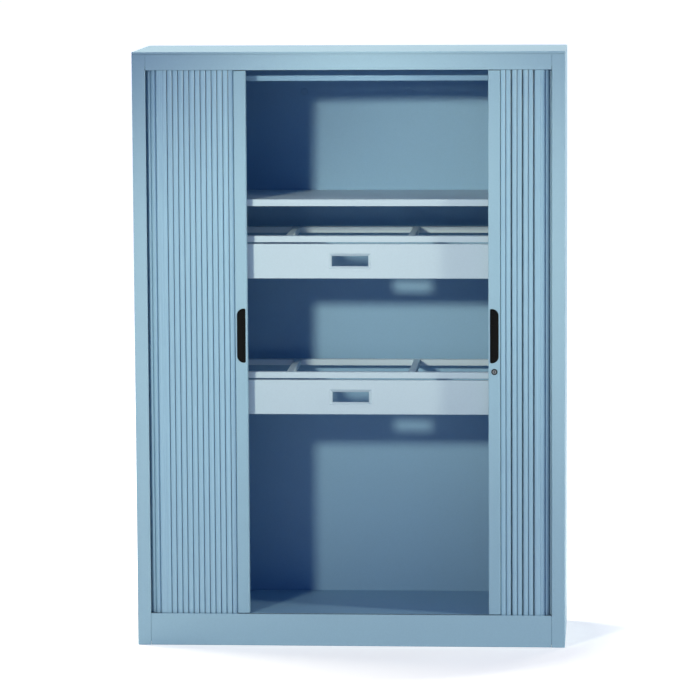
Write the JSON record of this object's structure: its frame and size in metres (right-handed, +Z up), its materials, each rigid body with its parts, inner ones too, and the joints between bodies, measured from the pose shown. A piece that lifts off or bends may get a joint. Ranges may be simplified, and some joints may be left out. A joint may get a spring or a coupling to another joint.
{
  "type": "tambour filing cabinet",
  "caption": "Upright sheet-steel cabinet with side-opening roller shutter doors, roll-out suspension filing frames, a shelf and an open base.",
  "frame": {"origin": "middle of the base, on the floor", "axes": "+Z up, -Y the way the doors face, +X to the right of someone who faces the doors"},
  "size_m": [1.2, 0.42, 1.666],
  "materials": {
    "case_paint": "fine-textured powder coat, light steel blue, satin",
    "inside_paint": "powder coat, light steel blue, satin",
    "frame_paint": "powder coat, pale blue, satin",
    "stile_paint": "powder coat on a drawn section, light steel blue, satin",
    "slat_plastic": "extruded plastic slats, light steel blue, fine grain",
    "track_plastic": "extruded plastic guide, dark grey",
    "shoe_nylon": "nylon, black",
    "grip_plastic": "moulded plastic, black, fine grain",
    "lock_black": "black lock face with a bare key slot",
    "plated_steel": "zinc plated",
    "runner_steel": "zinc-plated rolled steel",
    "rivet_metal": "blind rivet heads",
    "foot_plastic": "moulded plastic foot on a threaded stem"
  },
  "bodies": {
    "cabinet": {"back_panel": "case_paint", "back_rivets": "rivet_metal", "base_pan": "case_paint", "cap": "case_paint", "ceiling_panel": "inside_paint", "filing_rail_brackets": "plated_steel", "filing_rails": "inside_paint", "fixed_shelf": "inside_paint", "floor_panel": "inside_paint", "inner_back_panel": "inside_paint", "left_bottom_track": "track_plastic", "left_liner": "inside_paint", "left_pocket_slats": "slat_plastic", "left_side_panel": "case_paint", "left_top_track": "track_plastic", "levelling_feet": "foot_plastic", "lower_runner_channels": "runner_steel", "plinth": "case_paint", "right_bottom_track": "track_plastic", "right_liner": "inside_paint", "right_pocket_slats": "slat_plastic", "right_side_panel": "case_paint", "right_top_track": "track_plastic", "shelf_clips": "plated_steel", "top_pan": "case_paint", "top_rail": "case_paint", "upper_runner_channels": "runner_steel"},
    "left_door": {"left_stile": "stile_paint", "left_grip": "grip_plastic", "left_guide_shoes": "shoe_nylon", "left_strike_plate": "plated_steel", "left_front_slats": "slat_plastic"},
    "right_door": {"right_stile": "stile_paint", "right_grip": "grip_plastic", "right_guide_shoes": "shoe_nylon", "lock_case": "plated_steel", "right_front_slats": "slat_plastic"},
    "lock_barrel": {"lock_barrel": "lock_black", "lock_cam": "plated_steel"},
    "lock_bolt": {"lock_bolt": "plated_steel"},
    "upper_frame": {"upper_frame_panel": "frame_paint", "upper_frame_front_bar": "frame_paint", "upper_frame_rear_bar": "frame_paint", "upper_frame_side_rails": "frame_paint", "upper_frame_bay_rails": "frame_paint", "upper_runner_slides": "runner_steel"},
    "upper_runner_middle": {"upper_runner_middles": "runner_steel"},
    "lower_frame": {"lower_frame_panel": "frame_paint", "lower_frame_front_bar": "frame_paint", "lower_frame_rear_bar": "frame_paint", "lower_frame_side_rails": "frame_paint", "lower_frame_bay_rails": "frame_paint", "lower_runner_slides": "runner_steel"},
    "lower_runner_middle": {"lower_runner_middles": "runner_steel"}
  },
  "joints": [
    {"name": "left_door_slide", "type": "slide", "parent": "cabinet", "child": "left_door", "axis": [1, 0, 0], "range_m": [-0.24, 0.2845], "deforming": ["left_front_slats", "left_pocket_slats"]},
    {"name": "right_door_slide", "type": "slide", "parent": "cabinet", "child": "right_door", "axis": [-1, 0, 0], "range_m": [-0.138, 0.3865], "deforming": ["right_front_slats", "right_pocket_slats"]},
    {"name": "lock_turn", "type": "hinge", "parent": "right_door", "child": "lock_barrel", "pos_m": [0.4035, -0.2, 0.776], "axis": [0, -1, 0], "range_deg": [0, 90]},
    {"name": "lock_bolt_throw", "type": "slide", "parent": "right_door", "child": "lock_bolt", "axis": [-1, 0, 0], "range_m": [0, 0.008]},
    {"name": "upper_frame_slide", "type": "slide", "parent": "cabinet", "child": "upper_frame", "axis": [0, -1, 0], "range_m": [0, 0.012]},
    {"name": "upper_runner_slide", "type": "slide", "parent": "cabinet", "child": "upper_runner_middle", "axis": [0, -1, 0], "range_m": [0, 0.006]},
    {"name": "lower_frame_slide", "type": "slide", "parent": "cabinet", "child": "lower_frame", "axis": [0, -1, 0], "range_m": [0, 0.012]},
    {"name": "lower_runner_slide", "type": "slide", "parent": "cabinet", "child": "lower_runner_middle", "axis": [0, -1, 0], "range_m": [0, 0.006]}
  ],
  "couplings": [
    {"joint": "lock_turn", "follows": "lock_bolt_throw", "rad_per_m": 196.35},
    {"joint": "upper_runner_slide", "follows": "upper_frame_slide", "ratio": 0.5},
    {"joint": "lower_runner_slide", "follows": "lower_frame_slide", "ratio": 0.5}
  ]
}
